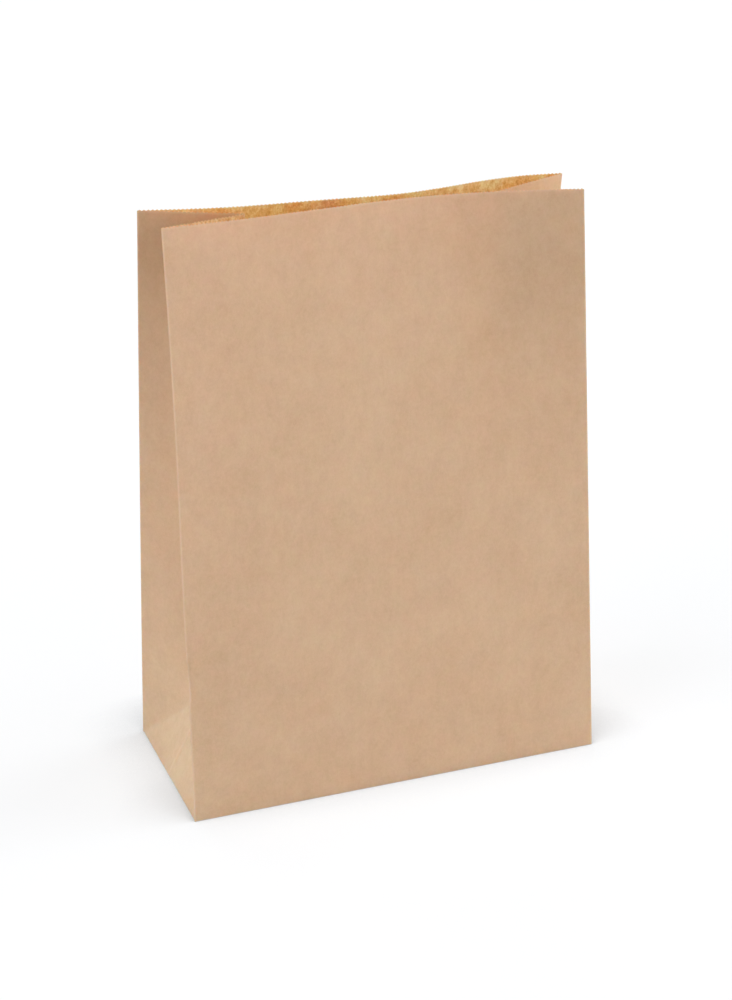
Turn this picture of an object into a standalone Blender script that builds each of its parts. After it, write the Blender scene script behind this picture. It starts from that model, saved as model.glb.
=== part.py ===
# Brown kraft paper bag: a block bottom, gussets folded in at the mouth and a pinked top edge
import bpy
import bmesh
import numpy as np
from math import cos, pi, radians, sin, sqrt

mm = 0.001

# The opened bag: X across the wide panels, Y from front to back, origin under the middle of its base
bag_width = 320 * mm
bag_depth = 140 * mm
bag_height = 430 * mm

# The paper and how sharply it is folded
paper_thickness = 0.13 * mm
fold_strip = 1.0 * mm          # paper taken up by one upright fold
base_fold_radius = 0.9 * mm    # the fold between the walls and the base

# The mouth, which has sprung half shut: front to back gaps and how far each end sits behind the middle
mouth_gap_left = 42.5 * mm
mouth_gap_right = 44.7 * mm
mouth_gap_narrowest = 9.5 * mm
front_dent_share = 0.59        # of what the mouth has closed by, at each panel's most dented place
back_dent_share = 0.49
mouth_shift_left = 6.0 * mm
mouth_shift_right = 3.2 * mm
mouth_draw_in = 4.8 * mm       # how far the front corners move in towards the middle
fold_forward = 3.0 * mm        # the gusset folds sit this far in front of the mouth's middle line
fold_drop = 1.8 * mm           # and their tops this far below its corners
slack_right = 4.0 * mm         # what the halves of the right gusset lose in width by bowing

# How the corner folds lean and the panels dent on the way up: 1 is even, more than 1 keeps to the top
front_left_lean_power = 1.6
front_right_lean_power = 1.0
back_lean_power = 1.1
dent_power = 1.5

# The dents' shape across a panel, as waves of one, two, three and four bows between its folds
front_one_bow = 0.82
front_two_bows = -0.26
back_one_bow = 0.92
back_two_bows = 0.23
back_three_bows = -0.13
back_four_bows = 0.15

# The gussets: the triangle at the foot of each one leans in about the short base edge
foot_lean = radians(27)

# The pinked edge at the mouth
tooth_pitch = 2.86 * mm
tooth_depth = 0.9 * mm
edge_margin = 3.0 * mm

# The pasted laps: one up the back panel, and the two long flaps of the base
seam_lap = 20.0 * mm
seam_from_right = 200.0 * mm
seam_run_out = 25.0 * mm
base_lap = 24.0 * mm
flap_rise = 6.0 * mm           # from the base's fold to where an end flap's edge stands at its full height

# How finely the curved panels are faceted
panel_steps = 14
gusset_steps = 5
upper_rows = 8
fold_segments = 4
base_fold_steps = 3
crowding = 0.35                # shares of a facet within which a wanted column replaces an even one
least_spread = 0.6             # keeps the sheet's thickness from running out in a spike at a sharp bend
sharp_angle = radians(20)      # edges that turn by more are shaded sharp

paper_colour = (0.624, 0.413, 0.270, 1.0)
paper_roughness = 0.82

gusset_reach = bag_depth / 2               # half a gusset, and the height of its foot triangle
flap_length = (bag_depth + base_lap) / 2   # what is folded under the base on every side
perimeter = 2 * (bag_width + bag_depth)
wall_start = base_fold_radius


def clear_scene():
    for item in list(bpy.data.objects):
        bpy.data.objects.remove(item, do_unlink=True)


def rise(height):
    return height / bag_height


def wave(across, strengths):
    # A panel's dent between its two folds, as a sum of waves with one bow, two bows and so on
    return sum(strength * sin(pi * (order + 1) * across) for order, strength in enumerate(strengths))


def front_bow(from_left):
    # Most dented right of the middle
    return wave(from_left, (front_one_bow, front_two_bows))


def back_bow(from_left):
    # Dents left of the middle and springs out a little near its right fold
    return wave(from_left, (back_one_bow, back_two_bows, back_three_bows, back_four_bows))


def front_corner(side, height):
    up = rise(height)
    gap = mouth_gap_left if side < 0 else mouth_gap_right
    shift = mouth_shift_left if side < 0 else mouth_shift_right
    power = front_left_lean_power if side < 0 else front_right_lean_power
    lean = bag_depth / 2 - gap / 2 + shift
    return np.array([side * (bag_width / 2 - mouth_draw_in * up), -bag_depth / 2 + lean * up ** power])


def back_corner(side, height):
    up = rise(height)
    gap = mouth_gap_left if side < 0 else mouth_gap_right
    shift = mouth_shift_left if side < 0 else mouth_shift_right
    lean = bag_depth / 2 - gap / 2 - shift
    return np.array([side * bag_width / 2, bag_depth / 2 - lean * up ** back_lean_power])


def fold_top(side):
    # At the mouth each half of a gusset spans from the fold to its own corner
    front = front_corner(side, bag_height)
    back = back_corner(side, bag_height)
    middle = (front + back) / 2
    half_gap = (back[1] - front[1]) / 2
    slack = slack_right if side > 0 else 0.0
    inward = sqrt(gusset_reach ** 2 - half_gap ** 2) - slack
    lean = bag_depth / 2 - half_gap
    corner_height = sqrt(bag_height ** 2 - lean ** 2)
    return np.array([middle[0] - side * inward, middle[1] - fold_forward, corner_height - fold_drop])


def foot_point(side, height):
    # On the foot triangle's middle line
    return np.array([side * (bag_width / 2 - height * sin(foot_lean)), 0.0, height * cos(foot_lean)])


def gusset_fold(side, height):
    if height <= gusset_reach:
        return foot_point(side, height)
    apex = foot_point(side, gusset_reach)
    top = fold_top(side)
    share = (height - gusset_reach) / (bag_height - gusset_reach)
    return apex + (top - apex) * share


def gusset_point(side, corner, corner_z, height, inward):
    # inward is 0 at the corner fold and 1 at the gusset's middle fold
    edge = np.array([corner[0], corner[1], corner_z])
    front_or_back = -1.0 if corner[1] < gusset_fold(side, height)[1] else 1.0
    crease = min(1.0, height / gusset_reach)
    if inward >= crease:
        foot = foot_point(side, height)
        foot[1] = front_or_back * gusset_reach * (1.0 - inward)
        return foot
    if crease < 1.0:
        target = foot_point(side, height)
        target[1] = front_or_back * gusset_reach * (1.0 - crease)
    else:
        target = gusset_fold(side, height)
    return edge + (target - edge) * (inward / crease)


def spread(count, wanted):
    # Even shares of a panel, with the wanted places put in exactly and their near neighbours left out
    even = [step / count for step in range(1, count)]
    kept = [share for share in even if all(abs(share - place) > crowding / count for place in wanted)]
    return sorted(kept + list(wanted))


def strip_places():
    # Where the end flaps stop along the long base edges
    share = flap_length / bag_width
    return [share, 1.0 - share]


def seam_places():
    outer_edge = seam_from_right / bag_width
    inner_edge = (seam_from_right - seam_lap) / bag_width
    run_out = (seam_from_right - seam_lap - seam_run_out) / bag_width
    half_step = paper_thickness / 2 / bag_width
    return [run_out, inner_edge - half_step, inner_edge + half_step,
            outer_edge - half_step, outer_edge + half_step]


def make_columns():
    # Each column is (kind, side, place, paper distance round the bag), anticlockwise from the front left
    gusset_shares = [step / gusset_steps for step in range(1, gusset_steps)]
    columns = [("front_fold", -1, 0.0, 0.0)]
    for share in spread(panel_steps, strip_places()):
        columns.append(("front", 0, share, share * bag_width))
    columns.append(("front_fold", 1, 0.0, bag_width))
    for share in gusset_shares:
        columns.append(("front_half", 1, share, bag_width + share * gusset_reach))
    columns.append(("gusset_fold", 1, 0.0, bag_width + gusset_reach))
    for share in reversed(gusset_shares):
        columns.append(("back_half", 1, share, bag_width + bag_depth - share * gusset_reach))
    start = bag_width + bag_depth
    columns.append(("back_fold", 1, 0.0, start))
    for share in spread(panel_steps, strip_places() + seam_places()):
        columns.append(("back", 0, share, start + share * bag_width))
    start += bag_width
    columns.append(("back_fold", -1, 0.0, start))
    for share in gusset_shares:
        columns.append(("back_half", -1, share, start + share * gusset_reach))
    columns.append(("gusset_fold", -1, 0.0, start + gusset_reach))
    for share in reversed(gusset_shares):
        columns.append(("front_half", -1, share, start + bag_depth - share * gusset_reach))
    return columns


def bow_size():
    spare = (mouth_gap_left + mouth_gap_right) / 2 - mouth_gap_narrowest
    return spare * front_dent_share, spare * back_dent_share


def plan_point(column, height):
    # Where the walls' columns stand in plan; the gusset's own points follow from these
    kind, side, share = column[:3]
    up = rise(height)
    front_size, back_size = bow_size()
    if kind == "front_fold":
        return front_corner(side, height)
    if kind == "back_fold":
        return back_corner(side, height)
    if kind == "front":
        left = front_corner(-1, height)
        right = front_corner(1, height)
        point = left + (right - left) * share
        point[1] += front_size * front_bow(share) * up ** dent_power
        return point
    right = back_corner(1, height)
    left = back_corner(-1, height)
    point = right + (left - right) * share
    point[1] -= back_size * back_bow(1.0 - share) * up ** dent_power
    return point


def row_heights():
    lower = [gusset_reach * step / gusset_steps for step in range(1, gusset_steps + 1)]
    top = bag_height - edge_margin
    upper = [gusset_reach + (top - gusset_reach) * step / upper_rows for step in range(1, upper_rows + 1)]
    return [wall_start, 2 * wall_start] + lower + upper + [bag_height]


def corner_climbs(heights):
    # A corner fold keeps its length, so one that leans ends lower than an upright one
    climbs = {}
    for name, corner in (("front", front_corner), ("back", back_corner)):
        for side in (-1, 1):
            before = corner(side, 0.0)
            previous = 0.0
            z = 0.0
            for height in heights:
                here = corner(side, height)
                run = height - previous
                z += sqrt(run ** 2 - float(np.sum((here - before) ** 2)))
                climbs[name, side, height] = z
                before = here
                previous = height
    return climbs


def nominal_rows(columns, heights):
    climbs = corner_climbs(heights)
    rows = []
    for height in heights:
        row = []
        for column in columns:
            kind, side, share = column[:3]
            wall = kind.split("_")[0]
            if kind == "gusset_fold":
                row.append(gusset_fold(side, height))
            elif kind.endswith("half"):
                corner = front_corner(side, height) if wall == "front" else back_corner(side, height)
                row.append(gusset_point(side, corner, climbs[wall, side, height], height, share))
            elif kind.endswith("fold"):
                here = plan_point(column, height)
                row.append(np.array([here[0], here[1], climbs[wall, side, height]]))
            else:
                from_left = share if wall == "front" else 1.0 - share
                left = climbs[wall, -1, height]
                right = climbs[wall, 1, height]
                here = plan_point(column, height)
                row.append(np.array([here[0], here[1], left + (right - left) * from_left]))
        rows.append(row)
    return rows


def turn_angle(before, after):
    cross = before[0] * after[1] - before[1] * after[0]
    return np.arctan2(cross, float(np.dot(before, after)))


def fold_chain(before, here, after):
    # A row's sharp corner becomes a short run of paper that turns in equal steps about the same place
    into = (here - before)[:2]
    out = (after - here)[:2]
    turn = turn_angle(into, out)
    heading = np.arctan2(into[1], into[0])
    step = fold_strip / fold_segments
    headings = [heading + turn * (part + 0.5) / fold_segments for part in range(fold_segments)]
    offsets = [np.zeros(2)]
    for angle in headings:
        offsets.append(offsets[-1] + step * np.array([cos(angle), sin(angle)]))
    middle = offsets[fold_segments // 2]
    return [offset - middle for offset in offsets]


def is_fold(column):
    return column[0].endswith("fold")


def rounded_row(columns, row):
    # Replaces each fold by its chain, and eases the points between two folds to meet the chains' ends
    count = len(columns)
    folds = [index for index in range(count) if is_fold(columns[index])]
    chains = {}
    for index in folds:
        chains[index] = fold_chain(row[index - 1], row[index], row[(index + 1) % count])
    points = []
    for position, start in enumerate(folds):
        end = folds[(position + 1) % len(folds)]
        for offset in chains[start]:
            points.append(row[start] + np.array([offset[0], offset[1], 0.0]))
        between = end - start if end > start else end + count - start
        length = columns[end][3] - columns[start][3]
        length = length if length > 0 else length + perimeter
        for step in range(1, between):
            index = (start + step) % count
            share = (columns[index][3] - columns[start][3]) / length
            shift = chains[start][-1] * (1.0 - share) + chains[end][0] * share
            points.append(row[index] + np.array([shift[0], shift[1], 0.0]))
    return points


def around_places(columns):
    # The paper distance of every point in a rounded row, and the column that it came from
    places = []
    owners = []
    step = fold_strip / fold_segments
    for column in columns:
        if is_fold(column):
            for part in range(fold_segments + 1):
                places.append(column[3] + (part - fold_segments / 2) * step)
                owners.append(column)
        else:
            places.append(column[3])
            owners.append(column)
    return places, owners


def inward_direction(column):
    kind, side = column[:2]
    if kind == "front_fold":
        return np.array([-side, 1.0])
    if kind == "back_fold":
        return np.array([-side, -1.0])
    if kind == "front":
        return np.array([0.0, 1.0])
    if kind == "back":
        return np.array([0.0, -1.0])
    return np.array([-float(side), 0.0])


def base_fold_rows(first_row, owners):
    # From the flat base out and up to the foot of the walls
    rows = []
    for step in range(base_fold_steps, 0, -1):
        angle = pi / 2 * step / base_fold_steps
        inset = base_fold_radius * (1.0 - cos(angle))
        row = []
        for point, owner in zip(first_row, owners):
            moved = point[:2] + inward_direction(owner) * inset
            row.append(np.array([moved[0], moved[1], point[2] * (1.0 - sin(angle))]))
        rows.append(row)
    return rows


def sheet_normals(rows):
    # One outward direction for each point, lengthened where the sheet bends so that it stays as thick
    grid = np.array(rows)
    row_count, count = grid.shape[:2]
    total = np.zeros_like(grid)
    touching = [[[] for c in range(count)] for r in range(row_count)]
    for r in range(row_count - 1):
        for c in range(count):
            n = (c + 1) % count
            normal = np.cross(grid[r + 1, n] - grid[r, c], grid[r + 1, c] - grid[r, n])
            size = np.linalg.norm(normal)
            normal = normal / size
            for a, b in ((r, c), (r, n), (r + 1, c), (r + 1, n)):
                total[a, b] += normal
                touching[a][b].append(normal)
    for r in range(row_count):
        for c in range(count):
            direction = total[r, c] / np.linalg.norm(total[r, c])
            spread_out = np.mean([float(np.dot(direction, normal)) for normal in touching[r][c]])
            total[r, c] = direction / max(spread_out, least_spread)
    total[0] = np.array([0.0, 0.0, -1.0])
    return total


def seam_lift(around):
    # How far the outer ply rises over the inner one, before its cut edge
    from_right = around - (bag_width + bag_depth)
    start = seam_from_right - seam_lap - seam_run_out
    return paper_thickness * min(1.0, max(0.0, (from_right - start) / seam_run_out))


def surface_offsets(around, in_back):
    outer = paper_thickness / 2
    inner = -paper_thickness / 2
    if in_back:
        from_right = around - (bag_width + bag_depth)
        if from_right < seam_from_right:
            outer += seam_lift(around)
        if from_right < seam_from_right - seam_lap:
            inner += seam_lift(around)
    return outer, inner


def point_between(row_low, row_high, places, around, up_share):
    # A point of the sheet between two rows, at a distance round the bag
    count = len(places)
    low = max((i for i in range(count) if places[i] <= around), default=count - 1)
    high = (low + 1) % count
    start = places[low]
    end = places[high]
    if end <= start:
        end += perimeter
    if around < start:
        around += perimeter
    share = (around - start) / (end - start)
    lower = row_low[low] + (row_low[high] - row_low[low]) * share
    upper = row_high[low] + (row_high[high] - row_high[low]) * share
    return lower + (upper - lower) * up_share


def mouth_edge(columns):
    # Distances round the bag and drops below the top, with a notch at every fold
    stops = [column for column in columns if is_fold(column)]
    step = fold_strip / fold_segments
    edge = []
    for position, start in enumerate(stops):
        end = stops[(position + 1) % len(stops)]
        length = (end[3] - start[3]) % perimeter
        teeth = max(1, round(length / tooth_pitch))
        half = length / (2 * teeth)
        for part in range(2 * teeth):
            edge.append((start[3] + part * half, tooth_depth if part % 2 == 0 else 0.0))
        for part in range(1, fold_segments // 2 + 1):
            drop = tooth_depth * (1.0 - part * step / half)
            edge.append((start[3] + part * step, drop))
            edge.append((start[3] + length - part * step, drop))
    edge = [(around % perimeter, drop) for around, drop in edge]
    return sorted(edge)


def add_points(mesh, points):
    return [mesh.verts.new(tuple(float(value) for value in point)) for point in points]


def crease_rises(owner, neighbour):
    # In a gusset the facets are split along the slanting creases that meet at the foot triangle's top
    half = owner if owner[0].endswith("half") else neighbour
    if not half[0].endswith("half"):
        return True
    return (half[0] == "front_half") == (half[1] > 0)


def join_rows(mesh, low, high, outward, owners=None):
    count = len(low)
    for c in range(count):
        n = (c + 1) % count
        corners = [low[c], low[n], high[n], high[c]]
        if owners and not crease_rises(owners[c], owners[n]):
            corners = corners[1:] + corners[:1]
        halves = [corners[:3], corners[2:] + corners[:1]]
        for half in halves:
            mesh.faces.new(half if outward else half[::-1])


def join_uneven(mesh, low, low_places, high, high_places, outward):
    # Triangles between a coarse loop below and the finely toothed one above
    low_ring = [(low_places[i], low[i]) for i in range(len(low))]
    shift = next(i for i in range(len(low_ring)) if low_ring[i][0] >= 0.0)
    low_ring = low_ring[shift:] + [(place + perimeter, vert) for place, vert in low_ring[:shift]]
    high_ring = list(zip(high_places, high))
    low_ring.append((low_ring[0][0] + perimeter, low_ring[0][1]))
    high_ring.append((high_ring[0][0] + perimeter, high_ring[0][1]))
    i = 0
    j = 0
    while i < len(low_ring) - 1 or j < len(high_ring) - 1:
        step_low = j == len(high_ring) - 1
        if i < len(low_ring) - 1 and j < len(high_ring) - 1:
            step_low = low_ring[i + 1][0] < high_ring[j + 1][0]
        if step_low:
            corners = [low_ring[i][1], low_ring[i + 1][1], high_ring[j][1]]
            i += 1
        else:
            corners = [low_ring[i][1], high_ring[j + 1][1], high_ring[j][1]]
            j += 1
        mesh.faces.new(corners if outward else corners[::-1])


def ring_part(ring, start, end):
    # The loop's vertices from one index to another, both included, going on round the loop
    if end >= start:
        return ring[start:end + 1]
    return ring[start:] + ring[:end + 1]


def close_under(mesh, ring, marks):
    # The base from outside: two end triangles, then the front flap, then the back flap pasted over it
    apex_x = bag_width / 2 - gusset_reach
    tip_x = bag_width / 2 - flap_length
    tip_y = -base_lap / 2
    levels = [0.0, paper_thickness, 2 * paper_thickness]
    apex = {side: add_points(mesh, [(side * apex_x, 0.0, level) for level in levels]) for side in (-1, 1)}
    tip = {side: add_points(mesh, [(side * tip_x, tip_y, level) for level in levels[:2]]) for side in (-1, 1)}
    back = ring_part(ring, marks["back_right"], marks["back_left"])
    left = ring_part(ring, marks["back_left"], marks["front_left"])
    front = ring_part(ring, marks["front_left"], marks["front_right"])
    right = ring_part(ring, marks["front_right"], marks["back_right"])
    faces = [
        back + [apex[-1][0], tip[-1][0], tip[1][0], apex[1][0]],
        front + [apex[1][1], tip[1][1], tip[-1][1], apex[-1][1]],
        left + [apex[-1][2]],
        right + [apex[1][2]],
        [tip[-1][1], tip[1][1], tip[1][0], tip[-1][0]],
        [apex[-1][1], tip[-1][1], tip[-1][0], apex[-1][0]],
        [tip[1][1], apex[1][1], apex[1][0], tip[1][0]],
        [ring[marks["back_left"]], apex[-1][2], apex[-1][1], apex[-1][0]],
        [ring[marks["back_right"]], apex[1][0], apex[1][1], apex[1][2]],
        [ring[marks["front_left"]], apex[-1][1], apex[-1][2]],
        [ring[marks["front_right"]], apex[1][2], apex[1][1]],
    ]
    return [mesh.faces.new(face[::-1]) for face in faces]


def close_floor(mesh, ring, marks):
    # The base from inside: the end flaps lie on top, with the front flap's edge on the back flap between
    apex_x = bag_width / 2 - gusset_reach
    strip_x = bag_width / 2 - flap_length
    lap_y = base_lap / 2
    end_y = bag_depth / 2 - base_fold_radius - flap_rise
    top = 3 * paper_thickness
    levels = [paper_thickness, 2 * paper_thickness, top]
    apex = {side: add_points(mesh, [(side * apex_x, 0.0, top)])[0] for side in (-1, 1)}
    lap = {side: add_points(mesh, [(side * strip_x, lap_y, level) for level in levels]) for side in (-1, 1)}
    near = {side: add_points(mesh, [(side * strip_x, -end_y, top)])[0] for side in (-1, 1)}
    far = {side: add_points(mesh, [(side * strip_x, end_y, top)])[0] for side in (-1, 1)}
    left = ring_part(ring, marks["back_left"], marks["front_left"])
    right = ring_part(ring, marks["front_right"], marks["back_right"])
    front_left = ring_part(ring, marks["front_left"], marks["front_strip_left"])
    front_middle = ring_part(ring, marks["front_strip_left"], marks["front_strip_right"])
    front_right = ring_part(ring, marks["front_strip_right"], marks["front_right"])
    back_right = ring_part(ring, marks["back_right"], marks["back_strip_right"])
    back_middle = ring_part(ring, marks["back_strip_right"], marks["back_strip_left"])
    back_left = ring_part(ring, marks["back_strip_left"], marks["back_left"])
    faces = [
        left + [apex[-1]],
        right + [apex[1]],
        front_left + [near[-1], lap[-1][2], apex[-1]],
        front_right + [apex[1], lap[1][2], near[1]],
        back_right + [far[1], lap[1][2], apex[1]],
        back_left + [apex[-1], lap[-1][2], far[-1]],
        front_middle + [lap[1][1], lap[-1][1]],
        back_middle + [lap[-1][0], lap[1][0]],
        [lap[-1][1], lap[1][1], lap[1][0], lap[-1][0]],
        [front_left[-1], lap[-1][1], lap[-1][2], near[-1]],
        [front_middle[-1], near[1], lap[1][2], lap[1][1]],
        [back_left[0], far[-1], lap[-1][2], lap[-1][1], lap[-1][0]],
        [back_right[-1], lap[1][0], lap[1][1], lap[1][2], far[1]],
    ]
    return [mesh.faces.new(face) for face in faces]


def find_marks(owners, places):
    # Where the four corners and the end flaps' edges fall in a row
    middle = fold_segments // 2
    marks = {}
    for kind, side, name in (("front_fold", -1, "front_left"), ("front_fold", 1, "front_right"),
                             ("back_fold", 1, "back_right"), ("back_fold", -1, "back_left")):
        first = next(i for i, owner in enumerate(owners) if owner[0] == kind and owner[1] == side)
        marks[name] = first + middle
    near, far = strip_places()
    back_start = bag_width + bag_depth
    wanted = {
        "front_strip_left": near * bag_width,
        "front_strip_right": far * bag_width,
        "back_strip_right": back_start + near * bag_width,
        "back_strip_left": back_start + far * bag_width,
    }
    for name, place in wanted.items():
        marks[name] = min(range(len(places)), key=lambda i: abs(places[i] - place))
    return marks


def make_paper():
    material = bpy.data.materials.new("kraft_paper")
    material.use_nodes = True
    shader = material.node_tree.nodes["Principled BSDF"]
    shader.inputs["Base Color"].default_value = paper_colour
    shader.inputs["Roughness"].default_value = paper_roughness
    shader.inputs["Metallic"].default_value = 0.0
    material.diffuse_color = paper_colour
    return material


def make_bag():
    columns = make_columns()
    places, owners = around_places(columns)
    heights = row_heights()
    walls = [rounded_row(columns, row) for row in nominal_rows(columns, heights)]
    rows = base_fold_rows(walls[0], owners) + walls
    normals = sheet_normals(rows)
    outer_rows = []
    inner_rows = []
    lift_base = np.array([0.0, 0.0, paper_thickness / 2])
    for r, row in enumerate(rows):
        above_fold = r > base_fold_steps
        outer_row = []
        inner_row = []
        for c, point in enumerate(row):
            in_back = above_fold and owners[c][0] == "back"
            outer, inner = surface_offsets(places[c], in_back)
            outer_row.append(point + normals[r, c] * outer + lift_base)
            inner_row.append(point + normals[r, c] * inner + lift_base)
        outer_rows.append(outer_row)
        inner_rows.append(inner_row)

    edge = mouth_edge(columns)
    edge_places = [around for around, drop in edge]
    shares = [1.0 - drop / edge_margin for around, drop in edge]
    mesh = bmesh.new()
    rings = {}
    for name, rows_here, outward in (("outer", outer_rows, True), ("inner", inner_rows, False)):
        loops = [add_points(mesh, row) for row in rows_here[:-1]]
        for low, high in zip(loops[:-1], loops[1:]):
            join_rows(mesh, low, high, outward, owners)
        top = [point_between(rows_here[-2], rows_here[-1], places, around, share)
               for around, share in zip(edge_places, shares)]
        top_loop = add_points(mesh, top)
        join_uneven(mesh, loops[-1], places, top_loop, edge_places, outward)
        rings[name] = (loops[0], top_loop)
    join_rows(mesh, rings["outer"][1], rings["inner"][1], True)
    marks = find_marks(owners, places)
    caps = close_under(mesh, rings["outer"][0], marks)
    caps += close_floor(mesh, rings["inner"][0], marks)
    bmesh.ops.triangulate(mesh, faces=caps, quad_method="SHORT_EDGE", ngon_method="EAR_CLIP")
    data = bpy.data.meshes.new("paper_bag")
    mesh.to_mesh(data)
    mesh.free()
    data.materials.append(make_paper())
    bag = bpy.data.objects.new("paper_bag", data)
    bpy.context.scene.collection.objects.link(bag)
    data.shade_smooth()
    data.set_sharp_from_angle(angle=sharp_angle)
    return bag


clear_scene()
make_bag()
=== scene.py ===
import bpy
import bmesh
import numpy as np
from math import cos, pi, radians, sin
from mathutils import Matrix, Vector


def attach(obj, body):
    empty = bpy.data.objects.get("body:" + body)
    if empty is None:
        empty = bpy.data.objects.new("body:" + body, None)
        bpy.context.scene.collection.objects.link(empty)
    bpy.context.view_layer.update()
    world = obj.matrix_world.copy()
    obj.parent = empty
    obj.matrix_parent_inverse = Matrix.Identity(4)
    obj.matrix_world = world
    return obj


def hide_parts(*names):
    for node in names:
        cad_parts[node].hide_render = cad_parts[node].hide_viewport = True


# A brown kraft paper bag standing open on a pale floor

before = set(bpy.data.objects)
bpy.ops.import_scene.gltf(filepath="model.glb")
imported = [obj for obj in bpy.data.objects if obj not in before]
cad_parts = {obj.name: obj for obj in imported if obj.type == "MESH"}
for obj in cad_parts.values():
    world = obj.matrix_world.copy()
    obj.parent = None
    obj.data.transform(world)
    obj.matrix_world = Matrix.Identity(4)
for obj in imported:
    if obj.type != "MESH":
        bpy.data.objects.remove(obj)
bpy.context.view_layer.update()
print("frame loaded")


def hexColour(code):
    # an sRGB hex value as a linear colour
    parts = [int(code[i:i + 2], 16) / 255 for i in (1, 3, 5)]
    linear = [p / 12.92 if p <= 0.04045 else ((p + 0.055) / 1.055) ** 2.4 for p in parts]
    return (*linear, 1.0)


def addNode(tree, kind, settings=None, inputs=None, stops=None):
    node = tree.nodes.new("ShaderNode" + kind)
    for name, value in (settings or {}).items():
        setattr(node, name, value)
    for name, value in (inputs or {}).items():
        if isinstance(value, bpy.types.NodeSocket):
            tree.links.new(value, node.inputs[name])
        else:
            node.inputs[name].default_value = value
    if stops:
        ramp = node.color_ramp
        while len(ramp.elements) < len(stops):
            ramp.elements.new(0.5)
        for element, (position, colour) in zip(ramp.elements, stops):
            element.position = position
            element.color = colour
    return node


def ease(x):
    # from 0 to 1 with a soft start and a soft end
    x = np.clip(x, 0.0, 1.0)
    return x * x * (3 - 2 * x)


# The bag's shape, in millimetres

bag = {
    "width": 320, "depth": 140, "height": 430,
    "thickness": 0.13,
    "foldStrip": 1.0, "foldSteps": 4,        # paper taken up by an upright fold
    "baseRadius": 0.9, "baseSteps": 4, "baseStrip": 1.2,            # and by the one round the base
    "sharpAngle": 40,                        # degrees: cut edges are shaded sharp from here
    "mouthGapLeft": 42.5, "mouthGapRight": 44.7, "mouthGapNarrowest": 9.5,
    "frontDent": 0.59, "backDent": 0.49,     # share of the closing, at the most dented place
    "dentPower": 1.5,                        # above 1, the panels dent late on the way up
    # how much of a dent is one bow across the panel, two bows, and so on
    "frontBows": (0.82, -0.26), "backBows": (0.92, 0.23, -0.13, 0.15),
    "mouthShiftLeft": 6.0, "mouthShiftRight": 3.2,
    "frontLeftLeanPower": 1.6, "frontRightLeanPower": 1.0, "backLeanPower": 1.1,
    "mouthDrawIn": 4.8,
    "foldForward": 3.0, "foldDrop": 1.8, "slackRight": 4.0,         # the gusset folds at the mouth
    "footLean": 27,                          # degrees: how far the foot triangles lean in
    "toothPitch": 2.86, "toothDepth": 0.9,
    "leastTooth": 0.02, "leastGap": 0.01,    # below these, a point of the pinked edge is left out
    "seamFromRight": 200, "seamLap": 20, "seamRunOut": 25,
    "baseLap": 24, "flapRise": 6,
    "footRows": 24, "pinchRows": 18, "upperRows": 54,
    "pinchTop": 130,                         # height at which the fine rows end
    "besideFold": 0.6, "underNotch": 1.2,    # nearest column to a fold, nearest row to the notches
}

# Handling marks: how far the sheet is pushed in or out, in millimetres
marks = {
    "waveWide": 0.45, "waveGusset": 0.22,    # broad soft waves
    "waves": ((150, 1.0), (80, 0.5), (42, 0.22), (24, 0.09)),       # length across, and share
    "wavesEach": 3, "waveStretch": 2.2, "waveTurn": 0.35, "waveTilt": 0.5,
    "seeds": {"front": 7, "back": 19,
              "rightFront": 31, "rightBack": 37, "leftBack": 43, "leftFront": 53},
    "edgeFade": 30, "footFade": 25, "reliefStart": 12,      # no relief at the folds and the base
    "kickCreaseCorner": 58, "kickCreaseMiddle": 76, "kickCreaseDepth": 1.6, "kickCreaseFade": 45,
    "footCreaseDepth": 0.6, "creasePower": 0.7,
    # the front left fold stands out a little, is blunted by a knock, and nipped in just above
    "foldOut": 1.8, "foldOutHeight": 165, "foldOutHalf": 110, "foldOutReach": 60, "foldOutRise": 60,
    "bluntHeight": 103, "bluntHalf": 10, "bluntShare": 0.7,
    "pitHeight": 120, "pitHalf": 5, "pitShare": 0.5,
    # pale folds, base fold and cut edge: scuffed, and partly a painted highlight
    "wearAndHighlightFold": 1.0, "wearAndHighlightBaseFold": 0.7, "wearAndHighlightRim": 0.6,
}

perimeter = 2 * (bag["width"] + bag["depth"])
halfWidth = bag["width"] / 2
halfDepth = bag["depth"] / 2
reach = halfDepth           # half a gusset's width, and the height of its foot triangle
flapLength = (bag["depth"] + bag["baseLap"]) / 2        # what is folded under the base

# the six walls between the upright folds, going round anticlockwise from the front left
wallNames = ["front", "rightFront", "rightBack", "back", "leftBack", "leftFront"]
wallLengths = [bag["width"], reach, reach, bag["width"], reach, reach]
stationPlaces = [sum(wallLengths[:i]) for i in range(6)]


def cornerFold(wall, side, heights):
    # an upright corner fold keeps its length, so it ends lower where it leans
    fine = np.linspace(0, bag["height"], 4 * int(bag["height"]) + 1)
    up = fine / bag["height"]
    gap = bag["mouthGapLeft"] if side < 0 else bag["mouthGapRight"]
    shift = bag["mouthShiftLeft"] if side < 0 else bag["mouthShiftRight"]
    if wall == "front":
        lean = halfDepth - gap / 2 + shift
        x = side * (halfWidth - bag["mouthDrawIn"] * up)
        power = bag["frontLeftLeanPower"] if side < 0 else bag["frontRightLeanPower"]
        y = -halfDepth + lean * up ** power
    else:
        lean = halfDepth - gap / 2 - shift
        x = side * halfWidth + 0 * up
        y = halfDepth - lean * up ** bag["backLeanPower"]
    step = np.diff(fine)
    climb = np.sqrt(np.maximum(step ** 2 - np.diff(x) ** 2 - np.diff(y) ** 2, 0))
    z = np.concatenate([[0], np.cumsum(climb)])
    return np.stack([np.interp(heights, fine, line) for line in (x, y, z)], axis=-1)


def footLine(side, heights):
    lean = radians(bag["footLean"])
    across = side * (halfWidth - heights * sin(lean))
    return np.stack([across, 0 * heights, heights * cos(lean)], axis=-1)


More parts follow.
